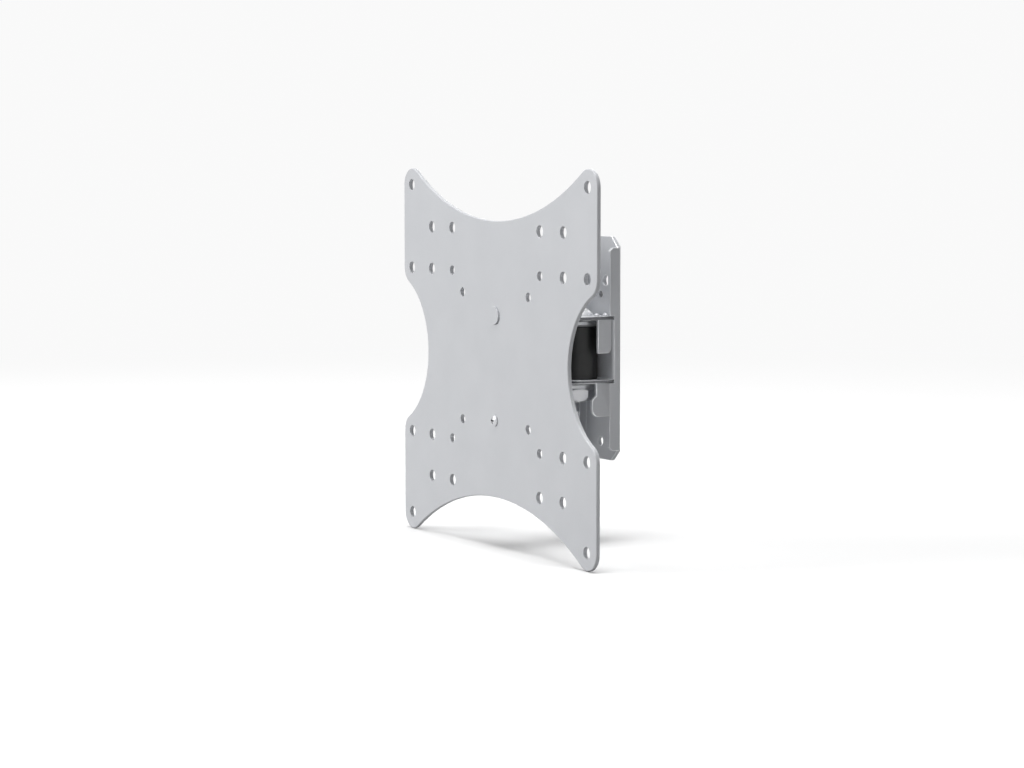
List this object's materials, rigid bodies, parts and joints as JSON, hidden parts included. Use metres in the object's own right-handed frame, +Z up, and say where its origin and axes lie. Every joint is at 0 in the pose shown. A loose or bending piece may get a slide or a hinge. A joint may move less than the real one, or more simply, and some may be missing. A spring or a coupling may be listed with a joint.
{
  "type": "monitor wall mount",
  "caption": "Wall mount for a flat screen: folded wall plate, swivel hinge with a black sleeve, tilt hinge and a waisted screen plate with standard hole grids.",
  "frame": {"origin": "centre of the wall plate's back face, on the wall", "axes": "+X to the right seen from the front, +Y into the wall, +Z up; the screen plate faces -Y"},
  "size_m": [0.22, 0.0769, 0.2199],
  "materials": {
    "silver_paint": "satin silver paint",
    "plated_steel": "zinc plated",
    "bright_steel": "bright plated",
    "black_sleeve": "fine matte",
    "grey_nylon": "natural nylon"
  },
  "bodies": {
    "wall_bracket": {"wall_plate": "silver_paint", "clevis": "silver_paint", "pivot_bolt": "bright_steel", "pivot_sleeve": "black_sleeve", "upper_friction_washer": "grey_nylon", "pivot_washer": "plated_steel", "pivot_nut": "bright_steel"},
    "swivel_yoke": {"yoke": "plated_steel", "upper_bush": "grey_nylon", "lower_bush": "grey_nylon", "tilt_spacer": "plated_steel", "left_tilt_stop_screw": "bright_steel", "right_tilt_stop_screw": "bright_steel", "left_tilt_stop_nut": "bright_steel", "right_tilt_stop_nut": "bright_steel"},
    "screen_head": {"head_bracket": "silver_paint", "screen_plate": "silver_paint", "hook_stud": "silver_paint", "lock_screw": "bright_steel", "lock_nut": "bright_steel", "left_tilt_friction_washer": "grey_nylon", "right_tilt_friction_washer": "grey_nylon", "left_tilt_washer": "plated_steel", "right_tilt_washer": "plated_steel", "tilt_bolt": "bright_steel", "tilt_nut": "bright_steel"}
  },
  "joints": [
    {"name": "swivel", "type": "hinge", "parent": "wall_bracket", "child": "swivel_yoke", "pos_m": [0, -0.0186, 0], "axis": [0, 0, 1], "range_deg": [-35, 35]},
    {"name": "tilt", "type": "hinge", "parent": "swivel_yoke", "child": "screen_head", "pos_m": [0, -0.06, -0.0029], "axis": [1, 0, 0], "range_deg": [-15, 15]}
  ]
}
